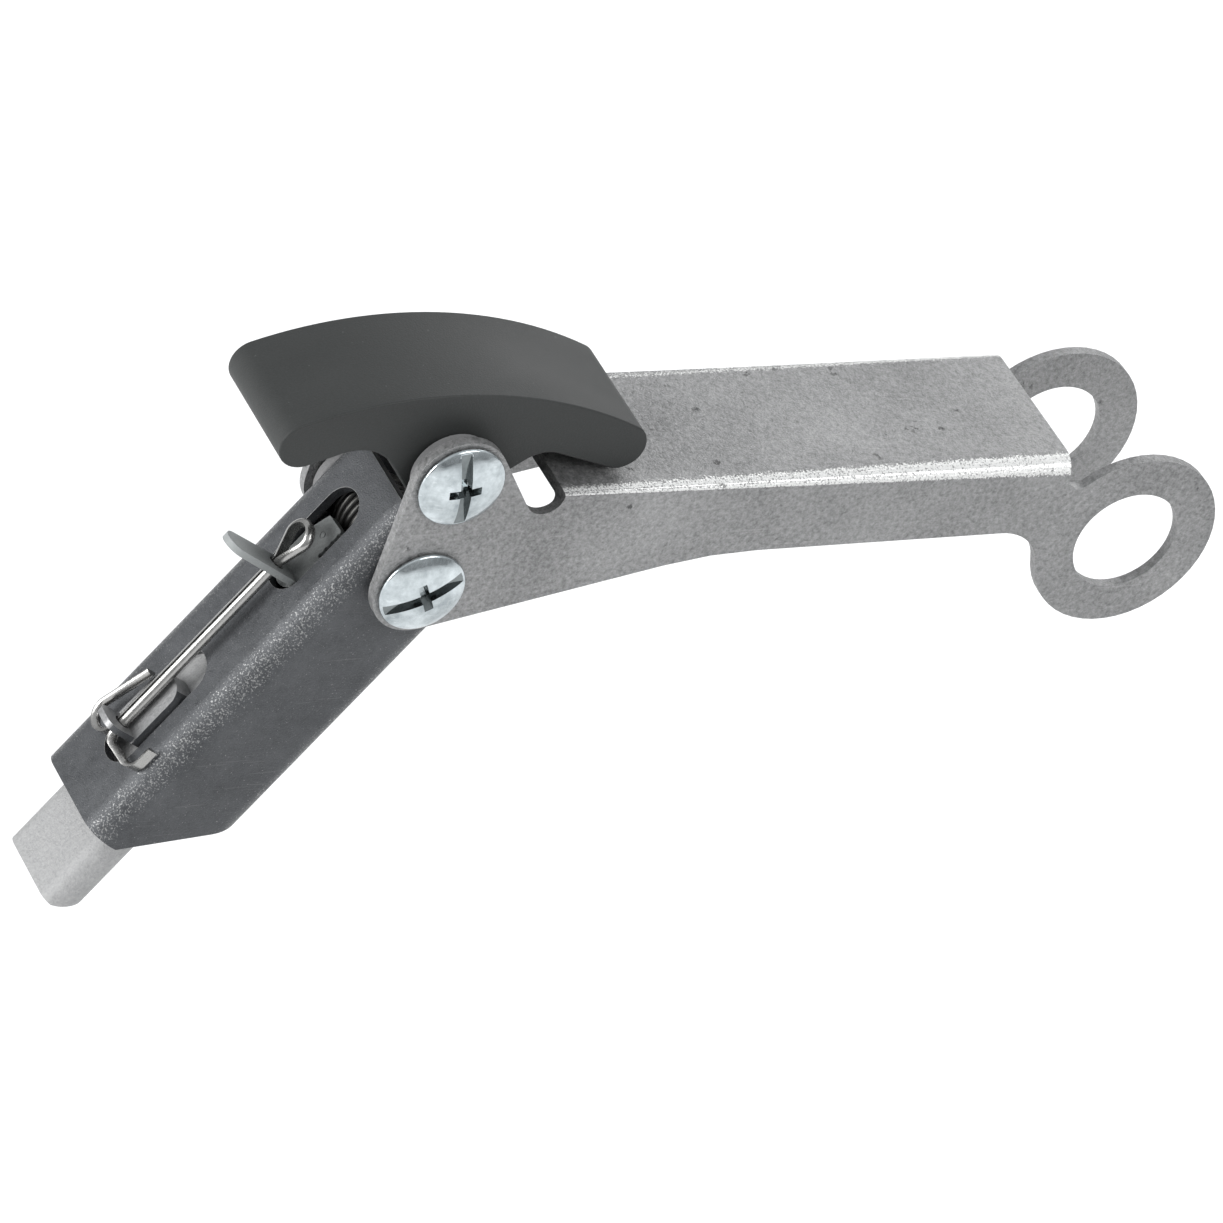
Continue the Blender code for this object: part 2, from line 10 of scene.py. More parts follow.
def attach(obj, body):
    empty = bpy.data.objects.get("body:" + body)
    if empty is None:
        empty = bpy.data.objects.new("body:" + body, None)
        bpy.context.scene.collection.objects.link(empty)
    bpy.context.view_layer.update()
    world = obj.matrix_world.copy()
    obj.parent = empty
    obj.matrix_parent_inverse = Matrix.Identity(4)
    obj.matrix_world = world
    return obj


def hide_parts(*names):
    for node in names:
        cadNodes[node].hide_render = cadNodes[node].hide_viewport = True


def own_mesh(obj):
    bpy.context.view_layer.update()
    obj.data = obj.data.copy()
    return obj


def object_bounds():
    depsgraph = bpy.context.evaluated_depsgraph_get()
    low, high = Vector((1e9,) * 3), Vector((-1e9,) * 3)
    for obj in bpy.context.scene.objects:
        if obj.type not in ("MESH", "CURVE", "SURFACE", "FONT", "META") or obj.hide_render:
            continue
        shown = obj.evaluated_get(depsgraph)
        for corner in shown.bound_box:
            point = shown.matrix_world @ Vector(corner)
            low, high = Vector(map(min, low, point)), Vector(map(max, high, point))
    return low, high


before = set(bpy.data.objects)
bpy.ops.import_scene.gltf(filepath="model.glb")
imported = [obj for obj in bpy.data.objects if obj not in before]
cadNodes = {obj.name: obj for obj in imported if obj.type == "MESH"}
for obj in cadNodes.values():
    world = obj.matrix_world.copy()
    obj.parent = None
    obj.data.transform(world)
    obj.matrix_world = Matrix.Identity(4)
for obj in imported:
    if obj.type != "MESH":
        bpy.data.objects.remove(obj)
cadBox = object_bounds()
mm = 0.001

# the tube leans on the lower pin, and everything in it is drawn along its own length first
lowerPin = Vector((-0.158, 0.0, 0.0))
upperPin = Vector((-0.156, 0.0, 0.0254))
tubeLean = math.radians(57.4)
tubePlace = Matrix.Translation(lowerPin) @ Matrix.Rotation(-tubeLean, 4, "Y")


def tangentRun(first, second):
    # straight run from one circle to the next; a positive radius turns anticlockwise
    start, end = Vector(first[:2]), Vector(second[:2])
    across = end - start
    gap = across.length
    along = across / gap
    left = Vector((-along.y, along.x))
    lean = max(-1.0, min(1.0, (second[2] - first[2]) / gap))
    square = lean * along + math.sqrt(1.0 - lean * lean) * left
    return start - first[2] * square, end - second[2] * square


def arcPoints(circle, start, end, step):
    middle = Vector(circle[:2])
    radius = circle[2]
    if abs(radius) < 1e-9:
        return [middle]
    a = math.atan2(start.y - middle.y, start.x - middle.x)
    b = math.atan2(end.y - middle.y, end.x - middle.x)
    turn = (b - a) % math.tau if radius > 0 else -((a - b) % math.tau)
    if abs(turn) > math.tau - 1e-4:
        turn = 0.0
    count = max(1, math.ceil(abs(turn) * max(1.0, (abs(radius) / 8.0) ** 0.5) / step))
    size = abs(radius)
    spots = [a + turn * i / count for i in range(count + 1)]
    return [Vector((middle.x + size * math.cos(t), middle.y + size * math.sin(t))) for t in spots]


def beltOutline(circles, step=math.radians(6), closed=True):
    # outline round a chain of circles and corner points
    n = len(circles)
    runs = n if closed else n - 1
    lines = [tangentRun(circles[i], circles[(i + 1) % n]) for i in range(runs)]
    points = []
    for i in range(n):
        start = lines[i - 1][1] if closed or i else lines[0][0]
        end = lines[i][0] if i < runs else lines[-1][1]
        points += arcPoints(circles[i], start, end, step)
    clean = []
    for p in points:
        if not clean or (p - clean[-1]).length > 1e-4:
            clean.append(p)
    if closed and (clean[0] - clean[-1]).length <= 1e-4:
        clean.pop()
    return clean


def circleOutline(x, z, radius, count=72):
    turns = [math.tau * i / count for i in range(count)]
    return [Vector((x + radius * math.cos(t), z + radius * math.sin(t))) for t in turns]


def pushedOutline(outline, low, high, plane="xz"):
    # solid from an outline pushed along the axis that it faces
    shape = bmesh.new()
    place = {
        "xz": lambda p, h: (p.x, h, p.y),
        "xy": lambda p, h: (p.x, p.y, h),
        "yz": lambda p, h: (h, p.x, p.y),
    }[plane]
    lower = [shape.verts.new(place(p, low)) for p in outline]
    upper = [shape.verts.new(place(p, high)) for p in outline]
    shape.faces.new(lower)
    shape.faces.new(list(reversed(upper)))
    n = len(outline)
    for i in range(n):
        j = (i + 1) % n
        shape.faces.new((lower[j], lower[i], upper[i], upper[j]))
    bmesh.ops.recalc_face_normals(shape, faces=shape.faces)
    return shape


def turnedProfile(profile, count=72):
    # solid of revolution about Y from (radius, y) points
    shape = bmesh.new()
    rings = []
    for r, y in profile:
        if r <= 1e-9:
            rings.append([shape.verts.new((0.0, y, 0.0))])
            continue
        turns = [math.tau * i / count for i in range(count)]
        rings.append([shape.verts.new((r * math.cos(t), y, r * math.sin(t))) for t in turns])
    pairs = list(zip(rings, rings[1:]))
    if all(r > 1e-9 for r, _ in profile):
        pairs.append((rings[-1], rings[0]))
    for a, b in pairs:
        for i in range(count):
            j = (i + 1) % count
            if len(a) == 1:
                shape.faces.new((a[0], b[i], b[j]))
            elif len(b) == 1:
                shape.faces.new((a[i], b[0], a[j]))
            else:
                shape.faces.new((a[i], b[i], b[j], a[j]))
    bmesh.ops.recalc_face_normals(shape, faces=shape.faces)
    return shape


def linkMesh(name, shape, matrix=None, scale=mm):
    # mesh object at the origin, with its place in its vertices
    mesh = bpy.data.meshes.new(name)
    shape.to_mesh(mesh)
    shape.free()
    mesh.transform(Matrix.Scale(scale, 4))
    if matrix is not None:
        mesh.transform(matrix)
    obj = bpy.data.objects.new(name, mesh)
    bpy.context.scene.collection.objects.link(obj)
    return obj


def applyModifiers(obj):
    bpy.context.view_layer.update()
    graph = bpy.context.evaluated_depsgraph_get()
    result = bpy.data.meshes.new_from_object(obj.evaluated_get(graph), depsgraph=graph)
    obj.modifiers.clear()
    old = obj.data
    obj.data = result
    bpy.data.meshes.remove(old)
    return obj


def cutAway(obj, shape, matrix=None, mode="DIFFERENCE"):
    tool = linkMesh("cutTool", shape, matrix)
    cut = obj.modifiers.new("cut", "BOOLEAN")
    cut.operation = mode
    cut.solver = "EXACT"
    cut.object = tool
    applyModifiers(obj)
    bpy.data.objects.remove(tool, do_unlink=True)
    return obj


def mergedCopy(node, name):
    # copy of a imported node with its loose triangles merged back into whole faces
    shape = bmesh.new()
    shape.from_mesh(cadNodes[node].data)
    bmesh.ops.remove_doubles(shape, verts=shape.verts, dist=2e-6)
    bmesh.ops.dissolve_limit(shape, angle_limit=math.radians(0.6), verts=shape.verts, edges=shape.edges)
    return linkMesh(name, shape, scale=1.0)


def paint(obj, *materials):
    obj.data.materials.clear()
    for m in materials:
        obj.data.materials.append(m)
    return obj


def softenEdges(obj, width, segments=3, angle=34.0, highlightSlot=0):
    # small worn radius on every sharp edge; its faces may take a second, lighter material as a painted edge
    # highlight
    bevel = obj.modifiers.new("soften", "BEVEL")
    bevel.width = width * mm
    bevel.segments = segments
    bevel.limit_method = "ANGLE"
    bevel.angle_limit = math.radians(angle)
    bevel.miter_outer = "MITER_ARC"
    bevel.harden_normals = False
    bevel.material = highlightSlot
    obj.data.shade_smooth()
    applyModifiers(obj)
    obj.data.shade_smooth()
    obj.data.set_sharp_from_angle(angle=math.radians(38))
    tidyNormals(obj)
    return obj


def tidyNormals(obj):
    # corner normals weighted by face size keep the flats flat beside the small radii
    weight = obj.modifiers.new("weight", "WEIGHTED_NORMAL")
    weight.keep_sharp = True
    weight.weight = 80
    applyModifiers(obj)


def writePaintedHighlight(obj, rule):
    # corner attribute of painted highlight that the materials read: 0 none, 1 painted brightest
    values = []
    for face in obj.data.polygons:
        rubbed = rule(face.center, face.normal) > 0.03
        for index in face.vertices:
            spot = obj.data.vertices[index]
            values.append(rule(spot.co, spot.normal) if rubbed else 0.0)
    paintedHighlight = obj.data.attributes.new("paintedHighlight", "FLOAT", "CORNER")
    paintedHighlight.data.foreach_set("value", values)


def addNode(tree, kind, inputs=None, **settings):
    node = tree.nodes.new(kind)
    for key, value in settings.items():
        setattr(node, key, value)
    for key, value in (inputs or {}).items():
        socket = node.inputs[key]
        if isinstance(value, bpy.types.NodeSocket):
            tree.links.new(value, socket)
        else:
            socket.default_value = value
    return node


def sumOf(tree, kind, a, b):
    return addNode(tree, "ShaderNodeMath", {0: a, 1: b}, operation=kind).outputs[0]


def noiseOf(tree, where, scale, detail=2.0, rough=0.5, seed=0.0, stretch=None, turn=None):
    # noise at a feature size in 1/metre, stretched where a direction is given
    if stretch or turn:
        where = addNode(tree, "ShaderNodeMapping", {
            "Vector": where, "Scale": stretch or (1, 1, 1), "Rotation": turn or (0, 0, 0)}).outputs[0]
    node = addNode(tree, "ShaderNodeTexNoise", {
        "Vector": where, "W": seed, "Scale": scale, "Detail": detail, "Roughness": rough},
        noise_dimensions="4D")
    return node.outputs["Fac"]


def rangeOf(tree, value, low, high, toLow=0.0, toHigh=1.0):
    node = addNode(tree, "ShaderNodeMapRange", {
        "Value": value, "From Min": low, "From Max": high, "To Min": toLow, "To Max": toHigh})
    return node.outputs["Result"]


def blendColour(tree, share, a, b):
    node = addNode(tree, "ShaderNodeMix", data_type="RGBA")
    for index, value in ((0, share), (6, a), (7, b)):
        if isinstance(value, bpy.types.NodeSocket):
            tree.links.new(value, node.inputs[index])
        else:
            node.inputs[index].default_value = value if index == 0 else (*value, 1.0)
    return node.outputs[2]


def metalSkin(name, look):
    # one recipe for every metal: mottling, grain, pits, scratches, and painted glints that gather where a
    # painted highlight is marked
    mat = bpy.data.materials.new(name)
    mat.use_nodes = True
    tree = mat.node_tree
    shader = tree.nodes["Principled BSDF"]
    where = addNode(tree, "ShaderNodeTexCoord").outputs["Object"]
    cloud = noiseOf(tree, where, look["cloudScale"], 3.0, 0.55, 1.3)
    mottle = noiseOf(tree, where, look["mottleScale"], 3.0, 0.6, 4.1)
    grain = noiseOf(tree, where, look["grainScale"], 2.0, 0.6, 7.7)
    tone = sumOf(tree, "MULTIPLY", rangeOf(tree, cloud, 0.3, 0.7), look["cloudShare"])
    mottled = sumOf(tree, "MULTIPLY", rangeOf(tree, mottle, 0.3, 0.7), look["mottleShare"])
    grained = sumOf(tree, "MULTIPLY", rangeOf(tree, grain, 0.25, 0.75), look["grainShare"])
    tone = sumOf(tree, "ADD", sumOf(tree, "ADD", tone, mottled), grained)
    colour = blendColour(tree, tone, look["dark"], look["light"])
    paintedHighlight = addNode(tree, "ShaderNodeAttribute", attribute_name="paintedHighlight").outputs["Fac"]
    # painted glints: bright grains that get denser as the painted highlight mask goes up
    glint = noiseOf(tree, where, look["glintScale"], 2.0, 0.65, 9.2)
    reach = sumOf(tree, "MULTIPLY", paintedHighlight, look["highlightReach"])
    glint = rangeOf(tree, sumOf(tree, "ADD", glint, reach), look["glintFrom"], look["glintFrom"] + 0.1)
    colour = blendColour(tree, sumOf(tree, "MULTIPLY", glint, look["glintShare"]), colour, look["bright"])
    # fine straight scratches two ways
    scratch = None
    for turn, seed in (((0.3, 0.5, 0.9), 2.0), ((1.2, -0.4, 0.2), 5.0)):
        line = noiseOf(tree, where, look["scratchScale"], 1.0, 0.4, seed, (0.035, 1.0, 1.0), turn)
        line = rangeOf(tree, line, 0.705, 0.735)
        scratch = line if scratch is None else sumOf(tree, "MAXIMUM", scratch, line)
    colour = blendColour(tree, sumOf(tree, "MULTIPLY", scratch, look["scratchShare"]), colour, look["bright"])
    # painted shade in recesses, where the piece marks them
    recessShade = addNode(tree, "ShaderNodeAttribute", attribute_name="recessShade").outputs["Fac"]
    colour = blendColour(tree, sumOf(tree, "MULTIPLY", recessShade, 0.7), colour, look["pitColour"])
    # dark pits in a few small clusters
    patch = rangeOf(tree, noiseOf(tree, where, look["patchScale"], 1.0, 0.5, 3.3), look["patchFrom"],
                    look["patchFrom"] + 0.05)
    pit = rangeOf(tree, noiseOf(tree, where, look["pitScale"], 2.0, 0.6, 6.6), 0.5, 0.58)
    pit = sumOf(tree, "MULTIPLY", pit, patch)
    colour = blendColour(tree, sumOf(tree, "MULTIPLY", pit, 0.75), colour, look["pitColour"])
    tree.links.new(colour, shader.inputs["Base Color"])
    rough = rangeOf(tree, mottle, 0.3, 0.7, look["roughLow"], look["roughHigh"])
    rough = sumOf(tree, "SUBTRACT", rough, sumOf(tree, "MULTIPLY", glint, look["glintGloss"]))
    tree.links.new(rough, shader.inputs["Roughness"])
    shader.inputs["Metallic"].default_value = look["metallic"]
    shader.inputs["Specular IOR Level"].default_value = 0.5
    height = sumOf(tree, "ADD", sumOf(tree, "MULTIPLY", mottle, look["mottleLift"]),
                   sumOf(tree, "MULTIPLY", grain, look["grainLift"]))
    height = sumOf(tree, "SUBTRACT", height, sumOf(tree, "MULTIPLY", pit, 0.5))
    height = sumOf(tree, "SUBTRACT", height, sumOf(tree, "MULTIPLY", scratch, 0.12))
    bump = addNode(tree, "ShaderNodeBump", {
        "Height": height, "Strength": look["bump"], "Distance": look["bumpDepth"] * mm})
    tree.links.new(bump.outputs[0], shader.inputs["Normal"])
    return mat


def plasticSkin(name, look):
    # moulded plastic: fine matt skin, slight flow marks and a few rubbed spots
    mat = bpy.data.materials.new(name)
    mat.use_nodes = True
    tree = mat.node_tree
    shader = tree.nodes["Principled BSDF"]
    where = addNode(tree, "ShaderNodeTexCoord").outputs["Object"]
    flow = noiseOf(tree, where, look["flowScale"], 3.0, 0.5, 1.1, (0.4, 1.0, 1.0))
    grain = noiseOf(tree, where, look["grainScale"], 2.0, 0.6, 2.2)
    dust = rangeOf(tree, noiseOf(tree, where, look["dustScale"], 1.0, 0.5, 3.1), 0.74, 0.78)
    tone = sumOf(tree, "ADD", sumOf(tree, "MULTIPLY", rangeOf(tree, flow, 0.3, 0.7), 0.6),
                 sumOf(tree, "MULTIPLY", rangeOf(tree, grain, 0.25, 0.75), look["grainShare"]))
    colour = blendColour(tree, tone, look["dark"], look["light"])
    colour = blendColour(tree, sumOf(tree, "MULTIPLY", dust, look["dustShare"]), colour, look["dustColour"])
    # painted highlight: paler, in the dust colour, where the piece marks it
    paintedHighlight = addNode(tree, "ShaderNodeAttribute", attribute_name="paintedHighlight").outputs["Fac"]
    colour = blendColour(tree, sumOf(tree, "MULTIPLY", paintedHighlight, 0.55), colour, look["dustColour"])
    tree.links.new(colour, shader.inputs["Base Color"])
    tree.links.new(rangeOf(tree, flow, 0.3, 0.7, look["roughLow"], look["roughHigh"]),
                   shader.inputs["Roughness"])
    shader.inputs["Specular IOR Level"].default_value = look["specular"]
    bump = addNode(tree, "ShaderNodeBump", {
        "Height": grain, "Strength": look["bump"], "Distance": look["bumpDepth"] * mm})
    tree.links.new(bump.outputs[0], shader.inputs["Normal"])
    return mat


# the glint and highlight keys set painted glints and how far the painted highlight reaches
sheetSteelLook = {
    "dark": (0.06, 0.061, 0.062), "light": (0.41, 0.411, 0.411), "bright": (0.80, 0.80, 0.79),
    "pitColour": (0.03, 0.03, 0.03), "metallic": 0.6, "roughLow": 0.40, "roughHigh": 0.56,
    "cloudScale": 45.0, "cloudShare": 0.2, "mottleScale": 950.0, "mottleShare": 0.45,
    "grainScale": 2600.0, "grainShare": 0.35, "mottleLift": 0.6, "grainLift": 0.5,
    "bump": 0.75, "bumpDepth": 0.35, "glintScale": 2600.0, "highlightReach": 0.36, "glintFrom": 0.72,
    "glintShare": 0.85, "glintGloss": 0.12, "scratchScale": 1500.0, "scratchShare": 0.06,
    "patchScale": 210.0, "patchFrom": 0.685, "pitScale": 950.0,
}
tubeSteelLook = {
    "dark": (0.018, 0.020, 0.023), "light": (0.092, 0.096, 0.102), "bright": (0.50, 0.50, 0.49),
    "pitColour": (0.012, 0.012, 0.012), "metallic": 0.4, "roughLow": 0.36, "roughHigh": 0.55,
    "cloudScale": 70.0, "cloudShare": 0.4, "mottleScale": 500.0, "mottleShare": 0.3,
    "grainScale": 3200.0, "grainShare": 0.35, "mottleLift": 0.5, "grainLift": 0.6,
    "bump": 0.7, "bumpDepth": 0.3, "glintScale": 2600.0, "highlightReach": 0.12, "glintFrom": 0.645,
    "glintShare": 0.42, "glintGloss": 0.1, "scratchScale": 1800.0, "scratchShare": 0.05,
    "patchScale": 90.0, "patchFrom": 0.76, "pitScale": 800.0,
}
# the two edge looks are lighter copies that paint a highlight on the small edge radii
tubeHighlightLook = dict(tubeSteelLook, dark=(0.14, 0.14, 0.142), light=(0.42, 0.42, 0.41), glintFrom=0.5)
sheetHighlightLook = dict(sheetSteelLook, dark=(0.22, 0.222, 0.225), light=(0.42, 0.42, 0.42), glintFrom=0.6)
boltSteelLook = dict(
    sheetSteelLook, dark=(0.21, 0.212, 0.214), light=(0.42, 0.42, 0.42), metallic=0.3,
    roughLow=0.55, roughHigh=0.72, cloudShare=0.12, patchFrom=0.95, scratchShare=0.05,
    glintFrom=0.74, mottleScale=1200.0)
keySteelLook = dict(
    boltSteelLook, dark=(0.18, 0.182, 0.185), light=(0.36, 0.362, 0.365), metallic=0.75, roughLow=0.4,
    roughHigh=0.52, mottleScale=1500.0, bump=0.3)
zincLook = dict(
    sheetSteelLook, dark=(0.20, 0.23, 0.243), light=(0.61, 0.66, 0.68), bright=(0.92, 0.95, 0.96),
    pitColour=(0.06, 0.068, 0.066), metallic=0.95, roughLow=0.08, roughHigh=0.18, cloudScale=170.0,
    cloudShare=0.85, mottleShare=0.3, grainShare=0.1, bump=0.10, bumpDepth=0.06, patchFrom=0.78,
    scratchScale=1900.0, scratchShare=0.2, glintFrom=0.8, glintGloss=0.02)
wireLook = dict(
    sheetSteelLook, dark=(0.30, 0.297, 0.29), light=(0.50, 0.495, 0.48), mottleShare=0.15,
    grainShare=0.1, bright=(0.85, 0.85, 0.83),
    metallic=0.95, roughLow=0.18, roughHigh=0.32, cloudScale=160.0, bump=0.03, bumpDepth=0.03,
    patchFrom=0.95, mottleScale=700.0)
springLook = dict(
    wireLook, dark=(0.03, 0.03, 0.029), light=(0.10, 0.098, 0.092), bright=(0.3, 0.29, 0.27),
    metallic=0.8, roughLow=0.3, roughHigh=0.45)
plainSteelLook = dict(
    sheetSteelLook, dark=(0.22, 0.22, 0.22), light=(0.40, 0.40, 0.40), metallic=0.6, roughLow=0.28,
    roughHigh=0.42, patchFrom=0.95)
triggerLook = {
    "dark": (0.021, 0.0225, 0.022), "light": (0.035, 0.037, 0.0365), "dustColour": (0.12, 0.13, 0.125),
    "roughLow": 0.46, "roughHigh": 0.58, "specular": 0.26, "flowScale": 60.0, "grainScale": 2600.0,
    "grainShare": 0.5, "dustScale": 900.0, "dustShare": 0.3, "bump": 0.3, "bumpDepth": 0.14,
}
sliderLook = dict(
    triggerLook, dark=(0.05, 0.054, 0.053), light=(0.14, 0.147, 0.146), flowScale=260.0,
    dustColour=(0.4, 0.42, 0.42), dustShare=0.4, dustScale=1300.0, grainShare=0.6)
nylonLook = dict(triggerLook, dark=(0.14, 0.14, 0.142), light=(0.24, 0.24, 0.242))

sheetSteel = metalSkin("channelSteel", sheetSteelLook)
sheetHighlightSkin = metalSkin("channelEdgeHighlight", sheetHighlightLook)
tubeSteel = metalSkin("tubeScale", tubeSteelLook)
tubeHighlightSkin = metalSkin("tubeEdgeHighlight", tubeHighlightLook)
boltSteel = metalSkin("boltSteel", boltSteelLook)
keySteel = metalSkin("keySteel", keySteelLook)
zincPlate = metalSkin("zincPlate", zincLook)
brightWire = metalSkin("brightWire", wireLook)
springWire = metalSkin("springWire", springLook)
plainSteel = metalSkin("plainSteel", plainSteelLook)
blackPlastic = plasticSkin("triggerPlastic", triggerLook)
greyPlastic = plasticSkin("sliderPlastic", sliderLook)
nylon = plasticSkin("spacerNylon", nylonLook)
print("materials made")


def newTree(name, sockets):
    tree = bpy.data.node_groups.new(name, "GeometryNodeTree")
    tree.interface.new_socket("Geometry", in_out="INPUT", socket_type="NodeSocketGeometry")
    for label, kind, value in sockets:
        socket = tree.interface.new_socket(label, in_out="INPUT", socket_type=kind)
        if value is not None:
            socket.default_value = value
    tree.interface.new_socket("Geometry", in_out="OUTPUT", socket_type="NodeSocketGeometry")
    return tree, tree.nodes.new("NodeGroupInput"), tree.nodes.new("NodeGroupOutput")


def runTree(obj, tree, values):
    # the inputs are set by identifier before the object is first evaluated
    mod = obj.modifiers.new(tree.name, "NODES")
    mod.node_group = tree
    for item in tree.interface.items_tree:
        if item.item_type == "SOCKET" and item.in_out == "INPUT" and item.name in values:
            mod[item.identifier] = values[item.name]
    return applyModifiers(obj)


def wireTree():
    # round or half-round wire along a path of edges
    tree, start, end = newTree("wireAlongPath", [
        ("Wire Radius", "NodeSocketFloat", 0.001),
        ("Sweep", "NodeSocketFloat", math.tau),
        ("Sides", "NodeSocketInt", 24),
        ("Tilt", "NodeSocketFloat", 0.0),
        ("Material", "NodeSocketMaterial", None),
    ])
    line = addNode(tree, "GeometryNodeMeshToCurve", {"Mesh": start.outputs["Geometry"]})
    upright = addNode(tree, "GeometryNodeSetCurveNormal", {"Curve": line.outputs[0]})
    if "Mode" in upright.inputs:
        upright.inputs["Mode"].default_value = "Z Up"
    else:
        upright.mode = "Z_UP"
    tilted = addNode(tree, "GeometryNodeSetCurveTilt", {
        "Curve": upright.outputs[0], "Tilt": start.outputs["Tilt"]})
    section = addNode(tree, "GeometryNodeCurveArc", {
        "Resolution": start.outputs["Sides"], "Radius": start.outputs["Wire Radius"],
        "Start Angle": -math.pi / 2, "Sweep Angle": start.outputs["Sweep"]})
    closed = addNode(tree, "GeometryNodeSetSplineCyclic", {"Geometry": section.outputs[0], "Cyclic": True})
    skin = addNode(tree, "GeometryNodeCurveToMesh", {
        "Curve": tilted.outputs[0], "Profile Curve": closed.outputs[0], "Fill Caps": True})
    whole = addNode(tree, "GeometryNodeRealizeInstances", {"Geometry": skin.outputs[0]})
    painted = addNode(tree, "GeometryNodeSetMaterial", {
        "Geometry": whole.outputs[0], "Material": start.outputs["Material"]})
    tree.links.new(painted.outputs[0], end.inputs[0])
    return tree


def repeatTree():
    # one made piece set on every point of a mesh, turned about Y by the point's own angle
    tree, start, end = newTree("pieceOnPins", [
        ("Piece", "NodeSocketObject", None),
        ("Material", "NodeSocketMaterial", None),
    ])
    piece = addNode(tree, "GeometryNodeObjectInfo", {"Object": start.outputs["Piece"]})
    angle = addNode(tree, "GeometryNodeInputNamedAttribute", {"Name": "turn"}, data_type="FLOAT")
    turn = addNode(tree, "ShaderNodeCombineXYZ", {"Y": angle.outputs["Attribute"]})
    spots = addNode(tree, "GeometryNodeInstanceOnPoints", {
        "Points": start.outputs["Geometry"], "Instance": piece.outputs["Geometry"],
        "Rotation": turn.outputs[0]})
    whole = addNode(tree, "GeometryNodeRealizeInstances", {"Geometry": spots.outputs[0]})
    painted = addNode(tree, "GeometryNodeSetMaterial", {
        "Geometry": whole.outputs[0], "Material": start.outputs["Material"]})
    tree.links.new(painted.outputs[0], end.inputs[0])
    return tree


wireAlongPath = wireTree()
pieceOnPins = repeatTree()


def wirePiece(name, path, values, matrix=None):
    # path points in millimetres; the wire is drawn in place and then turned into the frame
    shape = bmesh.new()
    spots = [shape.verts.new(p) for p in path]
    for a, b in zip(spots, spots[1:]):
        shape.edges.new((a, b))
    obj = linkMesh(name, shape)
    runTree(obj, wireAlongPath, values)
    shell = bmesh.new()
    shell.from_mesh(obj.data)
    bmesh.ops.remove_doubles(shell, verts=shell.verts, dist=1e-7)
    bmesh.ops.recalc_face_normals(shell, faces=shell.faces)
    shell.to_mesh(obj.data)
    shell.free()
    if matrix is not None:
        obj.data.transform(matrix)
    obj.data.shade_smooth()
    obj.data.set_sharp_from_angle(angle=math.radians(50))
    return obj


def onPins(name, piece, angles, material):
    shape = bmesh.new()
    for pin in (upperPin, lowerPin):
        shape.verts.new(pin)
    obj = linkMesh(name, shape, scale=1.0)
    turn = obj.data.attributes.new("turn", "FLOAT", "POINT")
    turn.data.foreach_set("value", angles)
    runTree(obj, pieceOnPins, {"Piece": piece, "Material": material})
    bpy.data.objects.remove(piece, do_unlink=True)
    return obj


channelSizes = {"edge": 0.32, "highlightAbove": 16.5, "highlightGain": 3.6}


def foldHighlight(spot, normal):
    # painted highlight on the two long folds, brightest half way round
    if spot.z <= channelSizes["highlightAbove"] * mm:
        return 0.0
    return min(1.0, channelSizes["highlightGain"] * abs(normal.y * normal.z))


def makeChannel():
    obj = mergedCopy("channel", "leverChannel")
    paint(obj, sheetSteel, sheetHighlightSkin)
    softenEdges(obj, channelSizes["edge"], highlightSlot=1)
    writePaintedHighlight(obj, foldHighlight)
    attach(obj, "lever")
    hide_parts("channel")
    print("channel", len(obj.data.polygons))


makeChannel()


screwSizes = {
    "headRadius": 9.0, "headHeight": 2.7, "rim": 0.75, "face": -19.35, "slotWidth": 2.3, "slotDepth": 1.75,
    "crossReach": 3.5, "crossWidth": 1.6, "crossDepth": 2.9, "shankRadius": 3.1, "shankLength": 17.0,
    "upperTurn": 98.6, "lowerTurn": 25.9,
}


def domedHead(face, sign, sizes):
    # rim, rolled corner and low dome, from the rim to the crown
    r, h, rim = sizes["headRadius"], sizes["headHeight"], sizes["rim"]
    rise = h - rim
    ball = (r ** 2 + rise ** 2) / (2 * rise)
    points = [(r - 0.25, face), (r, face + sign * 0.2), (r, face + sign * (rim - 0.35))]
    for i in range(4):
        t = math.radians(90 * i / 3 * 0.85)
        points.append((r - 0.4 * (1 - math.cos(t)), face + sign * (rim - 0.35 + 0.42 * math.sin(t))))
    for i in range(1, 14):
        k = (r - 0.55) * (1 - i / 13)
        points.append((k, face + sign * (h - (ball - math.sqrt(ball ** 2 - k ** 2)))))
    return points


def markRecess(screw, face, sizes):
    # corner attribute for painted recess shade: 1 on faces sunk below the dome, 0 elsewhere
    r, h = sizes["headRadius"], sizes["headHeight"]
    rise = h - sizes["rim"]
    ball = (r ** 2 + rise ** 2) / (2 * rise)
    values = []
    for side in screw.data.polygons:
        spot = side.center / mm
        out = math.hypot(spot.x, spot.z)
        sunk = False
        if out < r - 0.5 and spot.y < face:
            dome = face - (h - (ball - math.sqrt(ball ** 2 - out ** 2)))
            sunk = spot.y > dome + 0.18
        values.extend([1.0 if sunk else 0.0] * side.loop_total)
    recessShade = screw.data.attributes.new("recessShade", "FLOAT", "CORNER")
    recessShade.data.foreach_set("value", values)


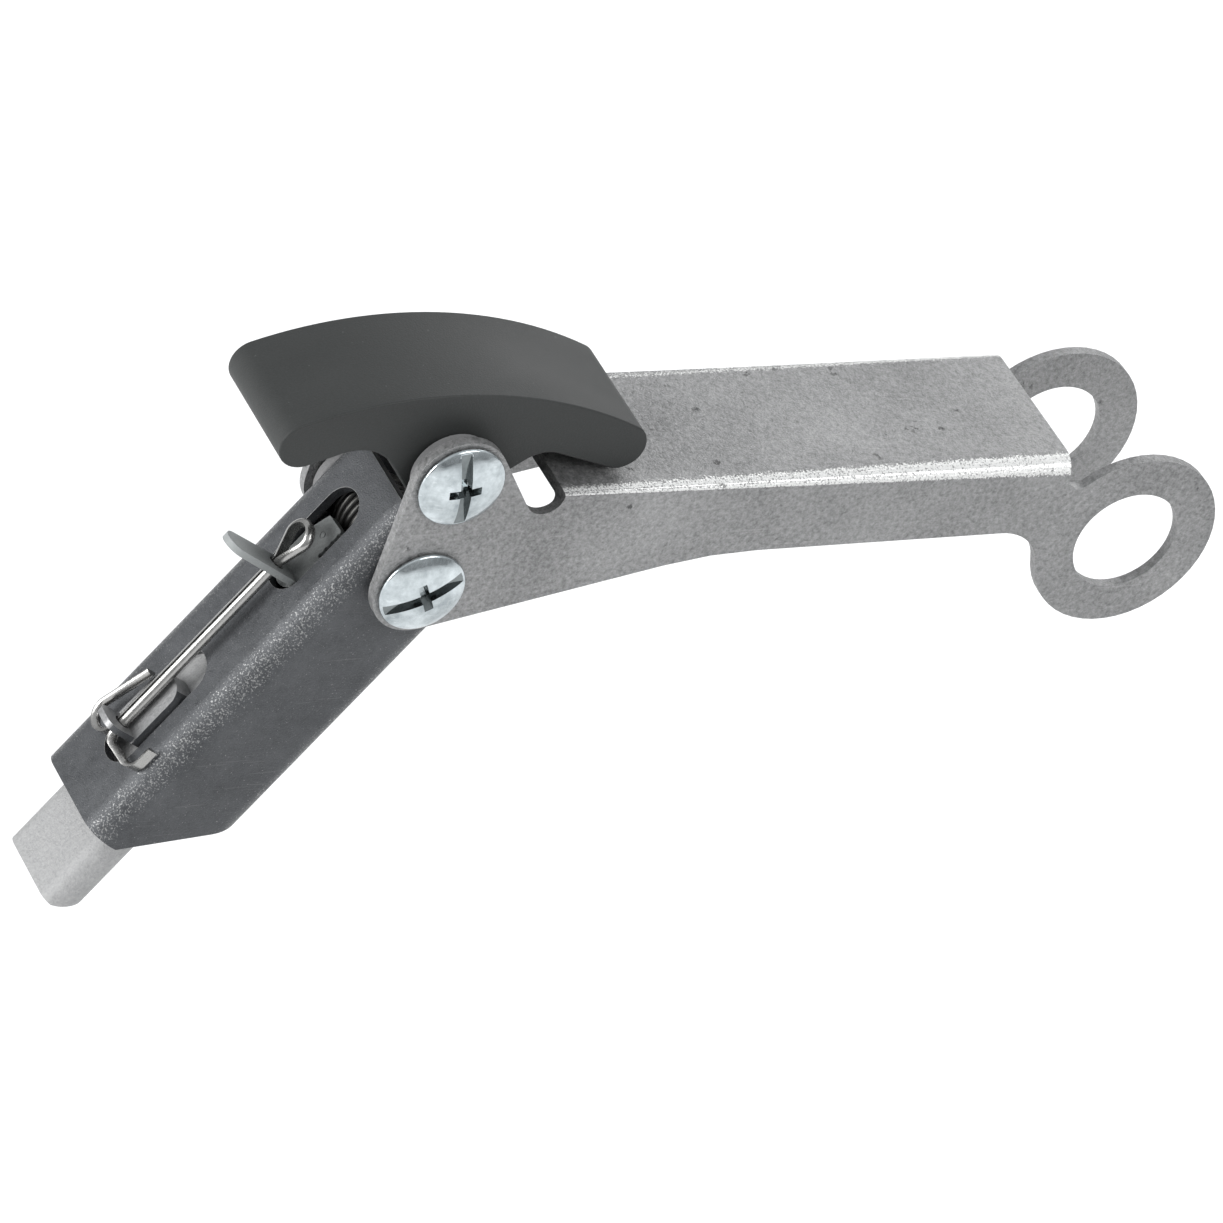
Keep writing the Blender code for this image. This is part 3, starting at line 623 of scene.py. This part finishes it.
def makeScrews():
    s = screwSizes
    face = s["face"]
    tip = face + s["shankLength"]
    r = s["shankRadius"]
    profile = [(0.0, tip), (r - 0.6, tip), (r, tip - 0.8), (r, face)] + domedHead(face, -1.0, s)
    screw = linkMesh("screwMaster", turnedProfile(profile, 96))
    crown = face - s["headHeight"]
    half = s["slotWidth"] / 2
    slot = beltOutline([(-12.0, -half, 0.0), (12.0, -half, 0.0), (12.0, half, 0.0), (-12.0, half, 0.0)])
    cutAway(screw, pushedOutline(slot, crown - 1.0, crown + s["slotDepth"]))
    # tapered cross recess: wide at the crown and narrow at its floor
    for quarter in (0.0, 90.0):
        cross = bmesh.new()
        reach, width, depth = s["crossReach"], s["crossWidth"] / 2, s["crossDepth"]
        rows = []
        for k, y in ((1.12, crown - 0.6), (0.45, crown + depth)):
            rows.append([cross.verts.new((x * k * reach, y, z * width * (1.25 if k > 1 else 0.8)))
                         for x, z in ((-1, -1), (1, -1), (1, 1), (-1, 1))])
        cross.faces.new(rows[0])
        cross.faces.new(rows[1][::-1])
        for i in range(4):
            j = (i + 1) % 4
            cross.faces.new((rows[0][i], rows[0][j], rows[1][j], rows[1][i]))
        bmesh.ops.recalc_face_normals(cross, faces=cross.faces)
        bmesh.ops.rotate(cross, matrix=Matrix.Rotation(math.radians(quarter), 3, "Y"), verts=cross.verts)
        cutAway(screw, cross)
    paint(screw, zincPlate)
    softenEdges(screw, 0.1, 2)
    markRecess(screw, face, s)
    turns = [-math.radians(s["upperTurn"]), -math.radians(s["lowerTurn"])]
    obj = onPins("pinScrews", screw, turns, zincPlate)
    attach(obj, "lever")
    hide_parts("upper_screw", "lower_screw")
    print("screws", len(obj.data.polygons))


def makeNuts():
    s = dict(screwSizes)
    face = -s["face"]
    end = -18.95
    bore, barrel = 3.4, 4.75
    profile = [(0.0, 1.05), (bore, 1.05), (bore, end), (barrel - 0.3, end), (barrel, end + 0.3)]
    profile.append((barrel, face))
    nut = linkMesh("nutMaster", turnedProfile(profile + domedHead(face, 1.0, s), 96))
    paint(nut, zincPlate)
    nut.data.shade_smooth()
    nut.data.set_sharp_from_angle(angle=math.radians(38))
    obj = onPins("pinNuts", nut, [0.0, 0.0], zincPlate)
    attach(obj, "lever")
    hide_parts("upper_barrel_nut", "lower_barrel_nut")
    print("nuts", len(obj.data.polygons))


makeScrews()
makeNuts()


triggerSizes = {
    "half": 13.5, "hub": 9.3, "bore": 6.7, "padRadius": 93.0, "padTop": (-159.5, 42.6), "tip": 5.2,
    "leftTip": -188.2, "rightTip": -119.2, "leftHollow": (-176.5, 20.3, -10.3),
    "rightHollow": (-135.3, 20.1, -7.2), "edge": 0.8,
}


def makeTrigger():
    s = triggerSizes
    x, top = s["padTop"]
    base = top - s["padRadius"]
    reach = s["padRadius"] - s["tip"]
    left = (s["leftTip"], base + math.sqrt(reach ** 2 - (s["leftTip"] - x) ** 2), s["tip"])
    right = (s["rightTip"], base + math.sqrt(reach ** 2 - (s["rightTip"] - x) ** 2), s["tip"])
    hub = (upperPin.x / mm, upperPin.z / mm, s["hub"])
    outline = beltOutline([(x, base, s["padRadius"]), left, s["leftHollow"], hub, s["rightHollow"], right])
    obj = linkMesh("rockerTrigger", pushedOutline(outline, -s["half"], s["half"]))
    cutAway(obj, pushedOutline(circleOutline(hub[0], hub[1], s["bore"]), -20.0, 20.0))
    paint(obj, blackPlastic)
    softenEdges(obj, s["edge"], 4)
    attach(obj, "trigger")
    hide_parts("trigger")
    print("trigger", len(obj.data.polygons))


makeTrigger()


tubeSizes = {"edge": 0.28, "highlightGain": 2.3}


def cornerHighlight(spot, normal):
    # painted highlight along the tube's rounded long corners, brightest half way round
    local = tubePlace.inverted().to_3x3() @ normal
    return min(1.0, tubeSizes["highlightGain"] * abs(local.y * local.z))


def makeTube():
    obj = mergedCopy("tube_housing", "boltTube")
    paint(obj, tubeSteel, tubeHighlightSkin)
    softenEdges(obj, tubeSizes["edge"], highlightSlot=1)
    writePaintedHighlight(obj, cornerHighlight)
    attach(obj, "housing")
    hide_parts("tube_housing")
    print("tube", len(obj.data.polygons))


makeTube()


slidingSizes = {
    "boltEdge": 0.35, "keyEdge": 0.16, "sliderEdge": 0.3, "footTop": 9.0, "paleFrom": 16.0, "paleOver": 11.0,
    "markRadii": (0.55, 0.8), "markFloor": 10.15, "markAt": (-7.5, 0.3), "notches": 4, "notchFrom": -10.2,
    "notchStep": 1.75, "notchSide": -3.1, "notchRadius": 0.5, "cutTop": 10.6,
}


def makeBolt():
    obj = mergedCopy("bolt", "springBolt")
    paint(obj, boltSteel)
    softenEdges(obj, slidingSizes["boltEdge"])
    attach(obj, "bolt")
    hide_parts("bolt")
    print("bolt", len(obj.data.polygons))


def makeKey():
    obj = mergedCopy("key_block", "boltKey")
    paint(obj, keySteel)
    softenEdges(obj, slidingSizes["keyEdge"], 2)
    paint(obj, keySteel, boltSteel, tubeSteel)
    # the foot that shows in the slot is light like the bolt, and the long sides take the dark tube finish as
    # painted shade from the slot
    upright = tubePlace.inverted()
    for face in obj.data.polygons:
        if (upright @ face.center).z < slidingSizes["footTop"] * mm:
            face.material_index = 1
        elif abs(face.normal.y) > 0.7:
            face.material_index = 2
    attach(obj, "bolt")
    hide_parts("key_block")
    print("key", len(obj.data.polygons))


def tipHighlight(spot, normal):
    # painted highlight: the finger tab gets paler towards its tip, where the light falls on it
    height = (tubePlace.inverted() @ spot).z / mm
    return max(0.0, min(1.0, (height - slidingSizes["paleFrom"]) / slidingSizes["paleOver"]))


def makeSlider():
    s = slidingSizes
    obj = mergedCopy("slider", "fingerSlider")
    # ring-shaped ejector mark on the plate and a row of notches along its near edge
    inner, outer = s["markRadii"]
    low, high = s["markFloor"], s["cutTop"]
    ring = turnedProfile([(inner, low), (outer, low), (outer, high), (inner, high)], 32)
    bmesh.ops.rotate(ring, matrix=Matrix.Rotation(math.radians(90), 3, "X"), verts=ring.verts)
    bmesh.ops.translate(ring, vec=(*s["markAt"], 0.0), verts=ring.verts)
    cutAway(obj, ring, tubePlace)
    for i in range(s["notches"]):
        spot = circleOutline(s["notchFrom"] + i * s["notchStep"], s["notchSide"], s["notchRadius"], 24)
        cutAway(obj, pushedOutline(spot, 9.2, 11.0, "xy"), tubePlace)
    paint(obj, greyPlastic)
    softenEdges(obj, s["sliderEdge"])
    writePaintedHighlight(obj, tipHighlight)
    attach(obj, "slider")
    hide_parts("slider")
    print("slider", len(obj.data.polygons))


makeBolt()
makeKey()
makeSlider()


cotterSizes = {
    "height": 14.75, "wire": 1.2, "side": -0.4, "slit": 0.2, "throat": -16.0, "eye": (-10.1, 0.1, 2.5),
    "nearTip": (-59.8, -10.9), "nearTurn": (-63.2, -7.9, -3.0), "nearBend": (-63.6, 2.6),
    "farBend": (-63.4, 3.8), "farTip": (-51.0, 3.8), "droop": 0.16,
}
springSizes = {
    "coilFrom": -11.6, "coilTo": -33.0, "coilRadius": 4.9, "coilWire": 0.7, "coilTurns": 11.0,
    "coilDrop": -0.4,
    "windRadius": 7.3, "windWire": 0.8, "windFrom": 7.4, "windPitch": 1.8, "windTurns": 5,
}


def makeCotter():
    s = cotterSizes
    near, far = s["side"] - s["slit"], s["side"] + s["slit"]
    flat = beltOutline([
        (*s["nearTip"], 0.0),
        s["nearTurn"],
        (s["nearBend"][0], near - s["nearBend"][1], -s["nearBend"][1]),
        (s["throat"], near, 0.0),
        s["eye"],
        (s["throat"], far, 0.0),
        (s["farBend"][0], far + s["farBend"][1], -s["farBend"][1]),
        (*s["farTip"], 0.0),
    ], math.radians(8), closed=False)
    # the near end droops a little towards the tube
    path = [Vector((p.x, p.y, s["height"] + s["droop"] * min(0.0, p.y + 2.0))) for p in flat]
    obj = wirePiece("splitPin", path, {
        "Wire Radius": s["wire"] * mm, "Sweep": math.pi, "Sides": 18, "Tilt": 0.0,
        "Material": brightWire}, tubePlace)
    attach(obj, "slider")
    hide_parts("cotter_pin")
    print("split pin", len(obj.data.polygons))


def makeBoltSpring():
    s = springSizes
    count = int(s["coilTurns"] * 36)
    path = []
    for i in range(count + 1):
        k = i / count
        a = math.tau * s["coilTurns"] * k
        path.append(Vector((s["coilFrom"] + (s["coilTo"] - s["coilFrom"]) * k, s["coilRadius"] * math.cos(a),
                            s["coilDrop"] + s["coilRadius"] * math.sin(a))))
    obj = wirePiece("boltSpring", path, {
        "Wire Radius": s["coilWire"] * mm, "Sweep": math.tau * 15 / 16, "Sides": 16, "Tilt": 0.0,
        "Material": springWire}, tubePlace)
    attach(obj, "housing")
    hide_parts("bolt_spring")
    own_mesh(obj)
    print("bolt spring", len(obj.data.polygons))


def makeReturnSpring():
    s = springSizes
    first = math.radians(7.2)
    last = math.radians(-56.2) + math.tau * s["windTurns"]
    count = s["windTurns"] * 36
    coil = []
    for i in range(count + 1):
        a = first + (last - first) * i / count
        y = s["windFrom"] - s["windPitch"] * (a - first) / math.tau
        coil.append(Vector((s["windRadius"] * math.cos(a), y, s["windRadius"] * math.sin(a))))
    path = [Vector((8.6, s["windFrom"], -13.0))] + coil + [Vector((16.6, coil[-1].y, 2.4))]
    obj = wirePiece("returnSpring", path, {
        "Wire Radius": s["windWire"] * mm, "Sweep": math.tau * 15 / 16, "Sides": 16, "Tilt": 0.0,
        "Material": springWire}, tubePlace)
    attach(obj, "housing")
    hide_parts("torsion_spring")
    print("return spring", len(obj.data.polygons))


makeCotter()
makeBoltSpring()
makeReturnSpring()

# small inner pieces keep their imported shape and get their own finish
for node, material in (
    ("upper_near_spacer", nylon), ("upper_far_spacer", nylon), ("lower_near_spacer", nylon),
    ("lower_far_spacer", nylon), ("pivot_sleeve", plainSteel), ("trigger_bush", plainSteel),
    ("spring_seat", plainSteel), ("key_screw", plainSteel),
):
    paint(cadNodes[node], material)

studio = {
    "floorDrop": 0.035, "floorColour": (0.93, 0.93, 0.93), "skyColour": (0.97, 0.985, 1.0),
    "horizonLight": 0.42, "zenithLight": 0.95, "skyStrength": 0.85,
    "lamps": [
        ("keySoftbox", (0.35, -1.0, 0.95), 0.8, 9.6),
        ("backSoftbox", (0.9, 0.9, 0.7), 0.8, 6.0),
        ("leftSoftbox", (-1.35, 0.1, 0.35), 0.7, 15.0),
    ],
}
cameraSetup = {
    "place": (-0.8300, -1.0793, 0.8947), "azimuth": -34.025, "elevation": 35.237, "roll": 17.162,
    "lens": 235.8, "sensor": 36.0,
}


def makeFloor():
    shape = bmesh.new()
    bmesh.ops.create_grid(shape, x_segments=2, y_segments=2, size=6.0)
    obj = linkMesh("studioFloor", shape, Matrix.Translation((0, 0, cadBox[0][2] - studio["floorDrop"])), 1.0)
    mat = bpy.data.materials.new("floorPaper")
    mat.use_nodes = True
    tree = mat.node_tree
    shader = tree.nodes["Principled BSDF"]
    where = addNode(tree, "ShaderNodeTexCoord").outputs["Object"]
    base = studio["floorColour"]
    colour = blendColour(tree, noiseOf(tree, where, 4.0), base, tuple(c * 1.02 for c in base))
    tree.links.new(colour, shader.inputs["Base Color"])
    shader.inputs["Roughness"].default_value = 0.9
    paint(obj, mat)


def makeLights():
    world = bpy.data.worlds.new("studioWorld")
    world.use_nodes = True
    tree = world.node_tree
    back = tree.nodes["Background"]
    # the sky is dimmer near the horizon, so curved metal shows some depth
    where = addNode(tree, "ShaderNodeTexCoord").outputs["Generated"]
    height = addNode(tree, "ShaderNodeSeparateXYZ", {0: where})
    share = rangeOf(tree, height.outputs["Z"], 0.05, 0.6, studio["horizonLight"], studio["zenithLight"])
    sky = addNode(tree, "ShaderNodeVectorMath", {0: studio["skyColour"], "Scale": share}, operation="SCALE")
    tree.links.new(sky.outputs[0], back.inputs["Color"])
    back.inputs["Strength"].default_value = studio["skyStrength"]
    bpy.context.scene.world = world
    for name, place, size, power in studio["lamps"]:
        lamp = bpy.data.lights.new(name, "AREA")
        lamp.shape = "SQUARE"
        lamp.size = size
        lamp.energy = power
        obj = bpy.data.objects.new(name, lamp)
        obj.location = Vector(place)
        toward = Vector((-0.09, 0.0, 0.0)) - obj.location
        obj.rotation_euler = toward.to_track_quat("-Z", "Y").to_euler()
        bpy.context.scene.collection.objects.link(obj)


def makeCamera():
    c = cameraSetup
    a, e, r = (math.radians(c[k]) for k in ("azimuth", "elevation", "roll"))
    back = Vector((math.sin(a) * math.cos(e), -math.cos(a) * math.cos(e), math.sin(e)))
    level = Vector((math.cos(a), math.sin(a), 0.0))
    upright = back.cross(level)
    right = math.cos(r) * level + math.sin(r) * upright
    up = back.cross(right)
    data = bpy.data.cameras.new("studioCamera")
    data.lens = c["lens"]
    data.sensor_width = c["sensor"]
    data.clip_end = 20.0
    obj = bpy.data.objects.new("studioCamera", data)
    turn = Matrix((right, up, back)).transposed().to_4x4()
    obj.matrix_world = Matrix.Translation(Vector(c["place"])) @ turn
    bpy.context.scene.collection.objects.link(obj)
    bpy.context.scene.camera = obj


makeFloor()
makeLights()
makeCamera()
bpy.context.scene.view_settings.view_transform = "Standard"
print("stage ready")
